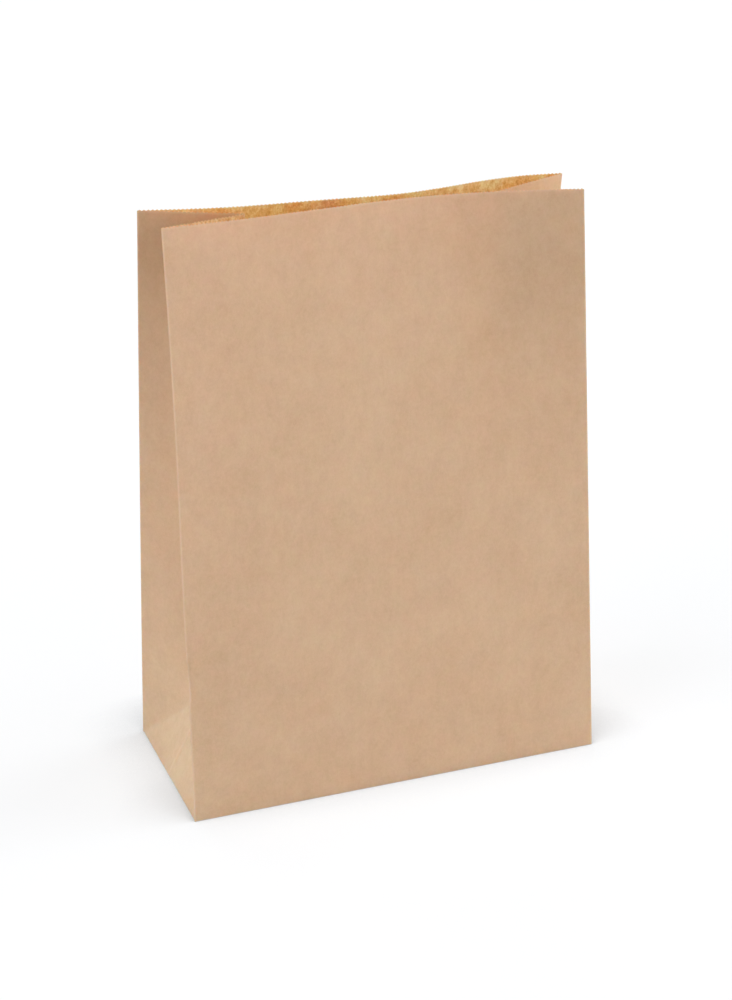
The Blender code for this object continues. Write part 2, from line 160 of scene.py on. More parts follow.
def gussetFold(side, heights):
    top = np.array([float(bag["height"])])
    front = cornerFold("front", side, top)[0]
    back = cornerFold("back", side, top)[0]
    halfGap = (back[1] - front[1]) / 2
    slack = bag["slackRight"] if side > 0 else 0
    inward = np.sqrt(reach ** 2 - halfGap ** 2) - slack
    lean = halfDepth - halfGap
    topZ = np.sqrt(bag["height"] ** 2 - lean ** 2) - bag["foldDrop"]
    foldTop = np.array([(front[0] + back[0]) / 2 - side * inward,
                        (front[1] + back[1]) / 2 - bag["foldForward"], topZ])
    apex = footLine(side, np.array([reach]))[0]
    share = np.clip((heights - reach) / (bag["height"] - reach), 0, 1)[:, None]
    inFoot = (heights <= reach)[:, None]
    return np.where(inFoot, footLine(side, heights), apex + (foldTop - apex) * share)


def bow(across, strengths):
    return sum(s * np.sin(pi * (order + 1) * across) for order, s in enumerate(strengths))


def panelPoints(start, end, shares, bulge):
    # rows by columns, straight across between two folds and then bowed along Y
    points = start[:, None, :] + (end - start)[:, None, :] * shares[None, :, None]
    points[:, :, 1] += bulge
    return points


def gussetPoints(side, corner, frontOrBack, heights, inward):
    # below its slanting crease a half gusset lies in the foot triangle, above it in the folded half
    crease = np.minimum(1, heights / reach)[:, None]
    foot = footLine(side, heights)
    target = gussetFold(side, heights).copy()
    target[:, 1] += np.where(heights < reach, frontOrBack * reach * (1 - crease[:, 0]), 0)
    share = np.clip(inward[None, :] / crease, 0, 1)[:, :, None]
    folded = corner[:, None, :] + (target - corner)[:, None, :] * share
    flat = np.repeat(foot[:, None, :], len(inward), axis=1)
    flat[:, :, 1] = frontOrBack * reach * (1 - inward)[None, :]
    return np.where((inward[None, :] >= crease)[:, :, None], flat, folded)


def toothCount(length):
    return round(length / bag["toothPitch"])


def wallColumns(name, length):
    # one column at each notch of the pinked edge, and more beside the folds, the seam and the flaps
    places = [length * i / toothCount(length) for i in range(1, toothCount(length))]
    near = bag["foldStrip"] / 2 + bag["besideFold"]
    places += [near, length - near]
    if name == "back":
        outer = bag["seamFromRight"]
        inner = outer - bag["seamLap"]
        edge = bag["thickness"] / 2
        places.append(inner - bag["seamRunOut"])
        places += [inner - edge, inner + edge, outer - edge, outer + edge]
    if name in ("front", "back"):
        places += [flapLength, length - flapLength]
    return np.array(sorted(places))


# rows: close together in the foot and round the pinch, wider apart above, one at the notches
notchHeight = bag["height"] - bag["toothDepth"]
heights = np.concatenate([
    [bag["baseRadius"], 2 * bag["baseRadius"]],
    np.linspace(0, reach, bag["footRows"] + 1)[1:],
    np.linspace(reach, bag["pinchTop"], bag["pinchRows"] + 1)[1:],
    np.linspace(bag["pinchTop"], notchHeight - bag["underNotch"], bag["upperRows"] + 1)[1:],
    [notchHeight]])
rise = (heights / bag["height"])[:, None]


def dent(share, across):
    # how far a panel has sprung in, most at the top
    closing = (bag["mouthGapLeft"] + bag["mouthGapRight"]) / 2 - bag["mouthGapNarrowest"]
    return closing * share * across[None, :] * rise ** bag["dentPower"]


def makeWalls():
    corner = {(wall, side): cornerFold(wall, side, heights)
              for wall in ("front", "back") for side in (-1, 1)}
    middle = {side: gussetFold(side, heights) for side in (-1, 1)}
    stations = [corner["front", -1], corner["front", 1], middle[1],
                corner["back", 1], corner["back", -1], middle[-1]]
    walls = []
    for index, name in enumerate(wallNames):
        length = wallLengths[index]
        places = wallColumns(name, length)
        shares = places / length
        start = stations[index]
        end = stations[(index + 1) % 6]
        if name == "front":
            across = bow(shares, bag["frontBows"])
            points = panelPoints(start, end, shares, dent(bag["frontDent"], across))
        elif name == "back":
            across = bow(1 - shares, bag["backBows"])
            points = panelPoints(start, end, shares, -dent(bag["backDent"], across))
        else:
            side = 1 if name.startswith("right") else -1
            frontOrBack = -1 if name.endswith("Front") else 1
            fromCorner = name in ("rightFront", "leftBack")
            inward = shares if fromCorner else 1 - shares
            points = gussetPoints(side, start if fromCorner else end, frontOrBack, heights, inward)
        walls.append((name, index, places, points))
    return stations, walls


def ripple(across, seed, strength):
    # the broad soft waves that handling leaves in paper, longer up the sheet than across it
    rng = np.random.default_rng(seed)
    total = np.zeros((len(heights), len(across)))
    for length, size in marks["waves"]:
        for part in range(marks["wavesEach"]):
            angle = rng.normal(0, marks["waveTurn"])
            phase = rng.uniform(0, 2 * pi)
            tilt = sin(angle) + rng.normal(0, marks["waveTilt"])
            acrossTurn = 2 * pi / length * cos(angle)
            upTurn = 2 * pi / (length * marks["waveStretch"]) * tilt
            total += size * np.sin(acrossTurn * across[None, :] + upTurn * heights[:, None] + phase)
    return strength * total / marks["wavesEach"]


def wallRelief(name, length, places):
    share = places / length
    up = heights[:, None]
    seed = marks["seeds"][name]
    foot = ease(up / marks["footFade"])
    if name in ("front", "back"):
        middle = ease(np.minimum(share, 1 - share) * length / marks["edgeFade"])[None, :]
        return ripple(places, seed, marks["waveWide"]) * middle * foot
    inward = (share if name in ("rightFront", "leftBack") else 1 - share)[None, :]
    across = np.sin(pi * inward)
    out = ripple(places, seed, marks["waveGusset"]) * across * foot
    # the crease left above the foot triangle from when the base was folded flat
    climb = marks["kickCreaseMiddle"] - marks["kickCreaseCorner"]
    crease = marks["kickCreaseCorner"] + climb * inward
    below = np.clip((up - reach * inward) / np.maximum(crease - reach * inward, 1), 0, 1)
    above = np.exp(-np.maximum(up - crease, 0) / marks["kickCreaseFade"])
    push = np.where(up < crease, below, above)
    out = out - marks["kickCreaseDepth"] * push * across ** marks["creasePower"]
    # the foot triangle's old middle crease, which fades towards the triangle's top
    footHeight = np.clip(up / reach, 0, 1)
    inTriangle = np.clip((inward - footHeight) / np.maximum(1 - footHeight, 0.05), 0, 1)
    bend = np.sin(pi * footHeight ** marks["creasePower"]) * (up < reach)
    return out - marks["footCreaseDepth"] * inTriangle * bend


def hump(middle, half, power=2):
    # 1 at one height, and fading out above and below it
    return np.exp(-((heights - middle) / half) ** power)


def pushFoldOut(grid, places):
    # the front left fold stands out a little at half height, and the walls beside it follow
    away = np.minimum(places, perimeter - places)
    out = marks["foldOut"] * hump(marks["foldOutHeight"], marks["foldOutHalf"])
    out = out * ease(heights / marks["foldOutRise"])
    grid[:, :, 0] -= out[:, None] * (1 - ease(away / marks["foldOutReach"]))[None, :]


def bluntFold(grid, places):
    # a knock has cut the front left fold off between the columns on both sides of it
    blunt = marks["bluntShare"] * hump(marks["bluntHeight"], marks["bluntHalf"], 4)
    blunt = blunt + marks["pitShare"] * hump(marks["pitHeight"], marks["pitHalf"])
    before = places[-2] - perimeter
    after = places[2]
    for c in (-1, 0, 1):
        place = places[c] - (perimeter if c < 0 else 0)
        share = (place - before) / (after - before)
        chord = grid[:, -2] + (grid[:, 2] - grid[:, -2]) * share
        grid[:, c] += (chord - grid[:, c]) * blunt[:, None]


def gridNormals(grid):
    right = np.roll(grid, -1, axis=1) - np.roll(grid, 1, axis=1)
    up = np.zeros_like(grid)
    up[1:-1] = grid[2:] - grid[:-2]
    up[0] = grid[1] - grid[0]
    up[-1] = grid[-1] - grid[-2]
    normal = np.cross(right, up)
    return normal / np.linalg.norm(normal, axis=2, keepdims=True)


def assemble():
    # the whole loop, with the folds still sharp
    stations, walls = makeWalls()
    blocks = []
    relief = []
    owners = []
    places = []
    for name, index, spots, points in walls:
        blocks += [stations[index][:, None, :], points]
        relief += [np.zeros((len(heights), 1)), wallRelief(name, wallLengths[index], spots)]
        places += [stationPlaces[index]] + [stationPlaces[index] + spot for spot in spots]
        owners += [("fold", index)] + [(name, index)] * len(spots)
    grid = np.concatenate(blocks, axis=1)
    places = np.array(places, float)
    offset = np.concatenate(relief, axis=1) * ease(heights / marks["reliefStart"])[:, None]
    grid = grid + gridNormals(grid) * offset[:, :, None]
    pushFoldOut(grid, places)
    bluntFold(grid, places)
    return grid, places, owners


def roundFolds(grid, places, owners):
    # each sharp fold becomes a short run of paper that turns in equal steps
    steps = bag["foldSteps"]
    step = bag["foldStrip"] / steps
    count = grid.shape[1]
    folds = [c for c in range(count) if owners[c][0] == "fold"]
    chains = []
    for c in folds:
        into = (grid[:, c] - grid[:, c - 1])[:, :2]
        out = (grid[:, (c + 1) % count] - grid[:, c])[:, :2]
        turn = np.arctan2(into[:, 0] * out[:, 1] - into[:, 1] * out[:, 0], (into * out).sum(axis=1))
        heading = np.arctan2(into[:, 1], into[:, 0])
        offsets = [np.zeros((len(grid), 2))]
        for part in range(steps):
            angle = heading + turn * (part + 0.5) / steps
            offsets.append(offsets[-1] + step * np.stack([np.cos(angle), np.sin(angle)], axis=-1))
        offsets = np.stack(offsets)
        chains.append(offsets - offsets[steps // 2])
    columns = []
    newPlaces = []
    newOwners = []
    for position, c in enumerate(folds):
        end = folds[(position + 1) % len(folds)]
        stop = end if end > c else count
        endPlace = places[end] if end > c else perimeter
        nextChain = chains[(position + 1) % len(folds)]
        for part in range(steps + 1):
            columns.append(grid[:, c] + np.pad(chains[position][part], ((0, 0), (0, 1))))
            newPlaces.append(places[c] + (part - steps / 2) * step)
            newOwners.append(owners[c])
        for k in range(c + 1, stop):
            share = (places[k] - places[c]) / (endPlace - places[c])
            shift = chains[position][-1] * (1 - share) + nextChain[0] * share
            columns.append(grid[:, k] + np.pad(shift, ((0, 0), (0, 1))))
            newPlaces.append(places[k])
            newOwners.append(owners[k])
    return np.stack(columns, axis=1), np.array(newPlaces), newOwners


def inwardDirection(owner):
    kind, index = owner
    if kind == "fold":
        return [(1, 1), (-1, 1), (-1, 0), (-1, -1), (1, -1), (1, 0)][index]
    if kind in ("front", "back"):
        return (0, 1) if kind == "front" else (0, -1)
    return (-1, 0) if kind.startswith("right") else (1, 0)


def addBaseFold(grid, owners):
    # from the flat base out and up to the foot of the walls
    inward = np.array([inwardDirection(owner) for owner in owners], float)
    rows = []
    for step in range(bag["baseSteps"], 0, -1):
        angle = pi / 2 * step / bag["baseSteps"]
        row = grid[0].copy()
        row[:, :2] += inward * bag["baseRadius"] * (1 - cos(angle))
        row[:, 2] *= 1 - sin(angle)
        rows.append(row)
    return np.concatenate([np.stack(rows), grid])


def seamRise(places, owners):
    # the outer ply climbs over the inner one, then ends in a cut edge
    fromRight = places - stationPlaces[3]
    start = bag["seamFromRight"] - bag["seamLap"] - bag["seamRunOut"]
    lift = bag["thickness"] * np.clip((fromRight - start) / bag["seamRunOut"], 0, 1)
    isBack = np.array([owner[0] == "back" for owner in owners])
    outer = np.where(isBack & (fromRight < bag["seamFromRight"]), lift, 0)
    inner = np.where(isBack & (fromRight < bag["seamFromRight"] - bag["seamLap"]), lift, 0)
    return outer, inner


wallGrid, places, owners = roundFolds(*assemble())
sheetGrid = addBaseFold(wallGrid, owners)
baseRows = bag["baseSteps"]
stripHalf = bag["baseStrip"] / 2
sheetHeights = np.concatenate([np.linspace(-stripHalf, stripHalf, baseRows), heights])
normals = gridNormals(sheetGrid)
normals[0] = (0, 0, -1)
outerRise, innerRise = seamRise(places, owners)
aboveBase = (np.arange(len(sheetGrid)) > baseRows)[:, None]
half = bag["thickness"] / 2
outerGrid = sheetGrid + normals * (half + outerRise[None, :] * aboveBase)[:, :, None]
innerGrid = sheetGrid + normals * (-half + innerRise[None, :] * aboveBase)[:, :, None]
outerGrid[:, :, 2] += half
innerGrid[:, :, 2] += half
print("sheet laid out:", sheetGrid.shape[0], "rows by", sheetGrid.shape[1], "columns")

# Soft changes of colour outside: where on the sheet (millimetres from the front left fold, and
# up), how large, and the change of red, green and blue. Unmarked ones are differences of tone,
# the others painted shade and painted highlights, as marked.
toneAndPaintedLight = [
    # painted shade: behind the front panel's top right the folded gusset lets less light through
    {"at": (290, 385), "size": (55, 75), "change": (-0.13, -0.135, -0.165)},
    {"at": (240, 330), "size": (16, 90), "change": (0.01, -0.01, -0.03)},
    {"at": (22, 300), "size": (30, 130), "change": (0.02, 0.01, 0.02)},
    # painted shade high on the left gusset's back half, by the back left fold
    {"at": (800, 418), "size": (45, 50), "change": (-0.08, -0.12, -0.20)},
    # painted highlight: the left foot triangle leans back towards the light
    {"at": (850, 25), "size": (70, 50), "change": (0.06, 0.11, 0.12)},
    {"at": (430, 415), "size": (50, 60), "change": (0.08, 0.12, 0.06)},
    # painted shade deep in the top of the left gusset, by its middle fold
    {"at": (838, 428), "size": (24, 22), "change": (0.0, -0.09, -0.24)},
    # painted shade along the foot of the front panel, next to the floor
    {"at": (160, 0), "size": (230, 5), "change": (-0.06, -0.06, -0.05)},
    # painted highlight on the blunted fold
    {"at": (916.4, 104), "size": (1.6, 9), "change": (0.07, 0.07, 0.08)},
    # painted shade in the nip
    {"at": (918.0, 121), "size": (2.6, 5.5), "change": (-0.50, -0.56, -0.68)},
]

# the pasted lap lets less light through: duller outside, but inside its paste makes it paler
lapTone = {"outside": (0.94, 0.935, 0.925), "inside": (1.12, 1.22, 1.05)}


def foldWearAndHighlight():
    # 1 on a fold's crown and the cut edge, 0 elsewhere: scuffed, and partly a painted highlight
    wearAndHighlight = np.zeros(sheetGrid.shape[:2])
    for c, owner in enumerate(owners):
        if owner[0] == "fold":
            wearAndHighlight[baseRows:, c] = marks["wearAndHighlightFold"]
    wearAndHighlight[1:baseRows, :] = marks["wearAndHighlightBaseFold"]
    wearAndHighlight[-1, :] = marks["wearAndHighlightRim"]
    return wearAndHighlight


def onLap(place):
    fromRight = place - stationPlaces[3]
    return bag["seamFromRight"] - bag["seamLap"] < fromRight < bag["seamFromRight"]


# the lap's tone, and the listed patches: tone, painted shade and painted highlights
def sheetTint():
    tint = np.ones((*sheetGrid.shape[:2], 3))
    tint[baseRows:, [onLap(place) for place in places]] = lapTone["outside"]
    for patch in toneAndPaintedLight:
        around = (places - patch["at"][0] + perimeter / 2) % perimeter - perimeter / 2
        up = sheetHeights - patch["at"][1]
        wide, high = patch["size"]
        weight = np.exp(-(around[None, :] / wide) ** 2 - (up[:, None] / high) ** 2)
        tint *= 1 + weight[:, :, None] * np.array(patch["change"])
    return tint


def insideTint(place):
    return lapTone["inside"] if onLap(place) else (1, 1, 1)


def toothUp(place):
    # how far the pinked edge stands above its notches, with a notch at each end of a wall
    wall = int(np.searchsorted(stationPlaces, place % perimeter, side="right")) - 1
    length = wallLengths[wall]
    phase = (place % perimeter - stationPlaces[wall]) / length * toothCount(length)
    return bag["toothDepth"] * (1 - abs(2 * (phase % 1.0) - 1))


def tipBetween(here, after):
    # the place of a tooth's tip between two columns, if there is one
    wall = int(np.searchsorted(stationPlaces, (here + after) / 2 % perimeter, side="right")) - 1
    pitch = wallLengths[wall] / toothCount(wallLengths[wall])
    tooth = ((here + after) / 2 % perimeter - stationPlaces[wall]) // pitch
    tip = stationPlaces[wall] + (tooth + 0.5) * pitch
    return tip if here + bag["leastGap"] < tip < after - bag["leastGap"] else None


def ringPart(ring, start, end):
    return ring[start:end + 1] if end >= start else ring[start:] + ring[:end + 1]


def findCorners():
    # columns of the four corners, and of the end flaps' edges along the long base edges
    middle = bag["foldSteps"] // 2
    found = {}
    for name, index in (("frontLeft", 0), ("frontRight", 1), ("backRight", 3), ("backLeft", 4)):
        found[name] = next(c for c, owner in enumerate(owners) if owner == ("fold", index)) + middle
    wanted = {
        "frontStripLeft": flapLength, "frontStripRight": bag["width"] - flapLength,
        "backStripRight": stationPlaces[3] + flapLength,
        "backStripLeft": stationPlaces[4] - flapLength,
    }
    for name, place in wanted.items():
        found[name] = int(np.argmin(abs(places - place)))
    return found


def closeUnder(mesh, ring, corners):
    # from outside: two end triangles, the front flap, and the back flap pasted over it
    apexX = halfWidth - reach
    tipX = halfWidth - flapLength
    tipY = -bag["baseLap"] / 2
    levels = [0, bag["thickness"], 2 * bag["thickness"]]
    apex = {s: [mesh.verts.new((s * apexX, 0, z)) for z in levels] for s in (-1, 1)}
    tip = {s: [mesh.verts.new((s * tipX, tipY, z)) for z in levels[:2]] for s in (-1, 1)}
    back = ringPart(ring, corners["backRight"], corners["backLeft"])
    left = ringPart(ring, corners["backLeft"], corners["frontLeft"])
    front = ringPart(ring, corners["frontLeft"], corners["frontRight"])
    right = ringPart(ring, corners["frontRight"], corners["backRight"])
    faces = [
        back + [apex[-1][0], tip[-1][0], tip[1][0], apex[1][0]],
        front + [apex[1][1], tip[1][1], tip[-1][1], apex[-1][1]],
        left + [apex[-1][2]],
        right + [apex[1][2]],
        [tip[-1][1], tip[1][1], tip[1][0], tip[-1][0]],
        [apex[-1][1], tip[-1][1], tip[-1][0], apex[-1][0]],
        [tip[1][1], apex[1][1], apex[1][0], tip[1][0]],
        [ring[corners["backLeft"]], apex[-1][2], apex[-1][1], apex[-1][0]],
        [ring[corners["backRight"]], apex[1][0], apex[1][1], apex[1][2]],
        [ring[corners["frontLeft"]], apex[-1][1], apex[-1][2]],
        [ring[corners["frontRight"]], apex[1][2], apex[1][1]],
    ]
    return [mesh.faces.new(face[::-1]) for face in faces]


def closeFloor(mesh, ring, corners):
    # from inside: the end flaps lie on top, and the front flap's edge lies on the back flap
    apexX = halfWidth - reach
    stripX = halfWidth - flapLength
    lapY = bag["baseLap"] / 2
    endY = halfDepth - bag["baseRadius"] - bag["flapRise"]
    top = 3 * bag["thickness"]
    levels = [bag["thickness"], 2 * bag["thickness"], top]
    apex = {s: mesh.verts.new((s * apexX, 0, top)) for s in (-1, 1)}
    lap = {s: [mesh.verts.new((s * stripX, lapY, z)) for z in levels] for s in (-1, 1)}
    near = {s: mesh.verts.new((s * stripX, -endY, top)) for s in (-1, 1)}
    far = {s: mesh.verts.new((s * stripX, endY, top)) for s in (-1, 1)}
    left = ringPart(ring, corners["backLeft"], corners["frontLeft"])
    right = ringPart(ring, corners["frontRight"], corners["backRight"])
    frontLeft = ringPart(ring, corners["frontLeft"], corners["frontStripLeft"])
    frontMiddle = ringPart(ring, corners["frontStripLeft"], corners["frontStripRight"])
    frontRight = ringPart(ring, corners["frontStripRight"], corners["frontRight"])
    backRight = ringPart(ring, corners["backRight"], corners["backStripRight"])
    backMiddle = ringPart(ring, corners["backStripRight"], corners["backStripLeft"])
    backLeft = ringPart(ring, corners["backStripLeft"], corners["backLeft"])
    faces = [
        left + [apex[-1]], right + [apex[1]],
        frontLeft + [near[-1], lap[-1][2], apex[-1]],
        frontRight + [apex[1], lap[1][2], near[1]],
        backRight + [far[1], lap[1][2], apex[1]],
        backLeft + [apex[-1], lap[-1][2], far[-1]],
        frontMiddle + [lap[1][1], lap[-1][1]],
        backMiddle + [lap[-1][0], lap[1][0]],
        [lap[-1][1], lap[1][1], lap[1][0], lap[-1][0]],
        # the end flaps' cut edges, split here because the triangulation of them left an open edge
        [frontLeft[-1], lap[-1][1], near[-1]],
        [near[-1], lap[-1][1], lap[-1][2]],
        [frontMiddle[-1], near[1], lap[1][1]],
        [near[1], lap[1][2], lap[1][1]],
        [backLeft[0], far[-1], lap[-1][0]],
        [far[-1], lap[-1][2], lap[-1][1], lap[-1][0]],
        [backRight[-1], lap[1][0], far[1]],
        [far[1], lap[1][0], lap[1][1], lap[1][2]],
    ]
    return [mesh.faces.new(face) for face in faces]


def triangulated(mesh, faces):
    return bmesh.ops.triangulate(mesh, faces=faces, ngon_method="BEAUTY")["faces"]


def wallFaces(verts):
    # the panels' faces have four corners; half gussets are in triangles
    rowCount, count = sheetGrid.shape[:2]
    made = []
    for r in range(rowCount - 1):
        for c in range(count):
            n = (c + 1) % count
            corners = [verts[r][c], verts[r][n], verts[r + 1][n], verts[r + 1][c]]
            # split along the slanting creases that meet above the foot triangle
            wall = owners[c][0] if owners[c][0] != "fold" else owners[n][0]
            if wall in ("rightBack", "leftFront") and r < baseRows + bag["footRows"] + 2:
                corners = corners[1:] + corners[:1]
            if wall in ("front", "back"):
                made.append(corners)
            else:
                made += [corners[:3], corners[2:] + corners[:1]]
    return made


def pinkedEdge(grid, top, addVert):
    # every column goes up to the cut, and a tip stands between each two notches
    count = len(top)
    slope = (grid[-1] - grid[-2]) / (heights[-1] - heights[-2])
    rim = []
    for c in range(count):
        up = toothUp(places[c])
        if up < bag["leastTooth"]:
            rim.append(top[c])
        else:
            rim.append(addVert(grid[-1, c] + slope[c] * up, places[c], heights[-1] + up, (-1, c)))
    made = []
    ring = []
    for c in range(count):
        n = (c + 1) % count
        after = places[n] if n > c else places[n] + perimeter
        tipPlace = tipBetween(places[c], after)
        tip = []
        if tipPlace is not None:
            share = (tipPlace - places[c]) / (after - places[c])
            foot = grid[-1, c] * (1 - share) + grid[-1, n] * share
            lean = slope[c] * (1 - share) + slope[n] * share
            tip = [addVert(foot + lean * bag["toothDepth"], tipPlace, bag["height"], (-1, c))]
        face = [top[c], top[n]]
        face += [rim[n]] if rim[n] is not top[n] else []
        face += tip
        face += [rim[c]] if rim[c] is not top[c] else []
        if len(face) > 2:
            made.append(face)
        ring += [rim[c]] + tip
    return made, ring


# the paper's grain is laid out like the flat sheet, the inside further on and the base below zero
layout = {"insideFrom": 2000, "baseFrom": -60}


def layOut(mesh, spots, insideFaces, base):
    # in metres
    sheetUv = mesh.loops.layers.uv["sheet"]
    for face in mesh.faces:
        shift = layout["insideFrom"] if face in insideFaces else 0
        if face in base:
            line = [(loop.vert.co.x + halfWidth, layout["baseFrom"] - loop.vert.co.y)
                    for loop in face.loops]
        else:
            line = [spots[loop.vert] for loop in face.loops]
            if max(u for u, v in line) - min(u for u, v in line) > perimeter / 2:
                line = [(u + perimeter if u < perimeter / 2 else u, v) for u, v in line]
        for loop, (u, v) in zip(face.loops, line):
            loop[sheetUv].uv = ((u + shift) / 1000, v / 1000)


def makeBag():
    mesh = bmesh.new()
    wearAndHighlightLayer = mesh.verts.layers.float.new("wearAndHighlight")
    tintLayer = mesh.verts.layers.float_color.new("tint")
    mesh.loops.layers.uv.new("sheet")
    wearAndHighlight = foldWearAndHighlight()
    tint = sheetTint()
    rowCount, count = sheetGrid.shape[:2]
    spots = {}          # each sheet vertex's place on the flat sheet
    rims = []
    feet = []
    insideFaces = set()
    for grid, inside in ((outerGrid, False), (innerGrid, True)):

        def addVert(point, place, up, at):
            # the pinked edge takes the top row's tint, and is pale: scuffed,
            # and partly a painted highlight
            vert = mesh.verts.new(point)
            vert[wearAndHighlightLayer] = wearAndHighlight[at] if at[0] >= 0 else 1.0
            vert[tintLayer] = (*(insideTint(place) if inside else tint[at]), 1)
            spots[vert] = (place, up)
            return vert

        verts = [[addVert(grid[r, c], places[c], sheetHeights[r], (r, c)) for c in range(count)]
                 for r in range(rowCount)]
        edge, ring = pinkedEdge(grid, verts[-1], addVert)
        for corners in wallFaces(verts) + edge:
            face = mesh.faces.new(corners[::-1] if inside else corners)
            if inside:
                insideFaces.add(face)
        rims.append(ring)
        feet.append(verts[0])
    for k in range(len(rims[0])):
        n = (k + 1) % len(rims[0])
        mesh.faces.new([rims[0][k], rims[0][n], rims[1][n], rims[1][k]])
    corners = findCorners()
    under = triangulated(mesh, closeUnder(mesh, feet[0], corners))
    floor = triangulated(mesh, closeFloor(mesh, feet[1], corners))
    insideFaces.update(floor)
    for vert in mesh.verts:
        if vert not in spots:
            vert[tintLayer] = (1, 1, 1, 1)
    for face in mesh.faces:
        face.smooth = True
        face.material_index = 1 if face in insideFaces else 0
    layOut(mesh, spots, insideFaces, set(under) | set(floor))
    data = bpy.data.meshes.new("paperBag")
    mesh.to_mesh(data)
    mesh.free()
    data.transform(Matrix.Scale(0.001, 4))
    data.set_sharp_from_angle(angle=radians(bag["sharpAngle"]))
    piece = bpy.data.objects.new("paperBagSheet", data)
    bpy.context.scene.collection.objects.link(piece)
    return piece


bagPiece = makeBag()
print("bag made:", len(bagPiece.data.polygons), "faces")

# The paper's colours and grain; sizes in millimetres

paper = {
    "outsideColour": "#D3B08F", "outsideDark": "#C4A07E", "outsidePale": "#DEBE9D",
    # inside, the colours are more orange and more strongly mottled: painted light coming through
    # the paper
    "insideColour": "#EAAD81", "insideDark": "#CA844D", "insidePale": "#FBD7B6",
    # the pale of folds and the cut edge: scuffed fibres, and partly a painted highlight
    "wornAndHighlightColour": "#E6CBB0", "wornAndHighlightShare": 0.35,
    "outsideCloud": 60.0, "insideCloud": 14.0, "cloudStretch": 0.8,
    "fibreWidth": 0.5, "fibreLength": 2.6, "fibreShare": 0.15,
    "roughness": 0.82, "bump": 0.12, "bumpHeight": 0.0001,
    "outsideMottle": 0.30, "insideMottle": 0.12,        # the smaller, the stronger
    # how far light gets into the paper, in metres, and the share of it that red, green and blue go
    "outsideDepth": 0.0010, "insideDepth": 0.0040, "depthShares": (0.30, 0.16, 0.08),
}


def kraftPaper(side):
    # Machine-finished kraft paper: unbleached long-fibre pulp, calendered to a dull even face. The
    # eye sees a warm mid brown with cloudy formation and fine short fibres that run up the sheet.
    material = bpy.data.materials.new("kraftPaper" + side.capitalize())
    material.use_nodes = True
    tree = material.node_tree
    shader = tree.nodes["Principled BSDF"]
    sheet = addNode(tree, "UVMap", {"uv_map": "sheet"})
    # formation: clouds of every size from a hand's width down to fibre bundles, equally strong
    cloudMap = addNode(tree, "Mapping", inputs={
        "Vector": sheet.outputs["UV"], "Scale": (1.0, paper["cloudStretch"], 1.0)})
    cloud = addNode(tree, "TexNoise", {"noise_dimensions": "2D"}, {
        "Vector": cloudMap.outputs["Vector"], "Scale": 1000 / paper[side + "Cloud"],
        "Detail": 7.0, "Roughness": 1.0})
    # fibres are 0.03 mm wide, too fine to show, so they are drawn as bundles 0.5 mm wide
    fibreShape = paper["fibreWidth"] / paper["fibreLength"]
    fibreMap = addNode(tree, "Mapping", inputs={
        "Vector": sheet.outputs["UV"], "Scale": (1.0, fibreShape, 1.0)})
    fibre = addNode(tree, "TexNoise", {"noise_dimensions": "2D"}, {
        "Vector": fibreMap.outputs["Vector"], "Scale": 1000 / paper["fibreWidth"],
        "Detail": 2.0, "Roughness": 0.7, "Distortion": 0.6})
    clouds = addNode(tree, "Math", {"operation": "MULTIPLY"}, {
        0: cloud.outputs[0], 1: 1 - paper["fibreShare"]})
    blend = addNode(tree, "Math", {"operation": "MULTIPLY_ADD"}, {
        0: fibre.outputs[0], 1: paper["fibreShare"], 2: clouds.outputs[0]})
    # inside, the more orange colours and the stronger mottle are painted light coming through the
    # paper
    mottle = paper[side + "Mottle"]
    ramp = addNode(tree, "ValToRGB", inputs={"Fac": blend.outputs[0]}, stops=[
        (0.5 - mottle, hexColour(paper[side + "Dark"])),
        (0.5, hexColour(paper[side + "Colour"])),
        (0.5 + mottle, hexColour(paper[side + "Pale"]))])
    # the tint carries tone, and the painted shade and painted highlights of the listed patches
    tint = addNode(tree, "Attribute", {"attribute_name": "tint"})
    toned = addNode(tree, "Mix", {"data_type": "RGBA", "blend_type": "MULTIPLY"}, {
        0: 1.0, 6: ramp.outputs["Color"], 7: tint.outputs["Color"]})
    # folds and the cut edge are pale: scuffed fibres, and partly a painted highlight
    wearAndHighlight = addNode(tree, "Attribute", {"attribute_name": "wearAndHighlight"})
    wornAndLit = addNode(tree, "Math", {"operation": "MULTIPLY"}, {
        0: wearAndHighlight.outputs["Fac"], 1: paper["wornAndHighlightShare"]})
    colour = addNode(tree, "Mix", {"data_type": "RGBA"}, {
        0: wornAndLit.outputs[0], 6: toned.outputs[2], 7: hexColour(paper["wornAndHighlightColour"])})
    tree.links.new(colour.outputs[2], shader.inputs["Base Color"])
    shader.inputs["Roughness"].default_value = paper["roughness"]
    # thin enough that some light comes through it, and comes out orange
    shader.inputs["Subsurface Weight"].default_value = 1.0
    shader.inputs["Subsurface Radius"].default_value = paper["depthShares"]
    shader.inputs["Subsurface Scale"].default_value = paper[side + "Depth"]
    bump = addNode(tree, "Bump", inputs={
        "Height": fibre.outputs[0], "Strength": paper["bump"], "Distance": paper["bumpHeight"]})
    tree.links.new(bump.outputs["Normal"], shader.inputs["Normal"])
    return material


bagPiece.data.materials.append(kraftPaper("outside"))
bagPiece.data.materials.append(kraftPaper("inside"))
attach(bagPiece, "root")
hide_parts("paper_bag")
print("bag dressed")

# Floor, light and camera

studio = {
    "floorSize": 30.0, "floorColour": "#E4E8ED",
    "floorGlow": 0.735, "shadowShare": 0.34,        # seen on it: an even white, and cast shadows
    "contactReach": 0.06, "contactDepth": 0.95,     # soft shadow close to the bag: metres, share
    "creviceReach": 0.006, "creviceDepth": 0.7,     # and the thin dark line right under its edge
    "contactLean": (-0.2, -0.68, 0.7),              # to the front, where the floor stays clear
    "contactSamples": 4,
    "worldLight": 0.18,
}

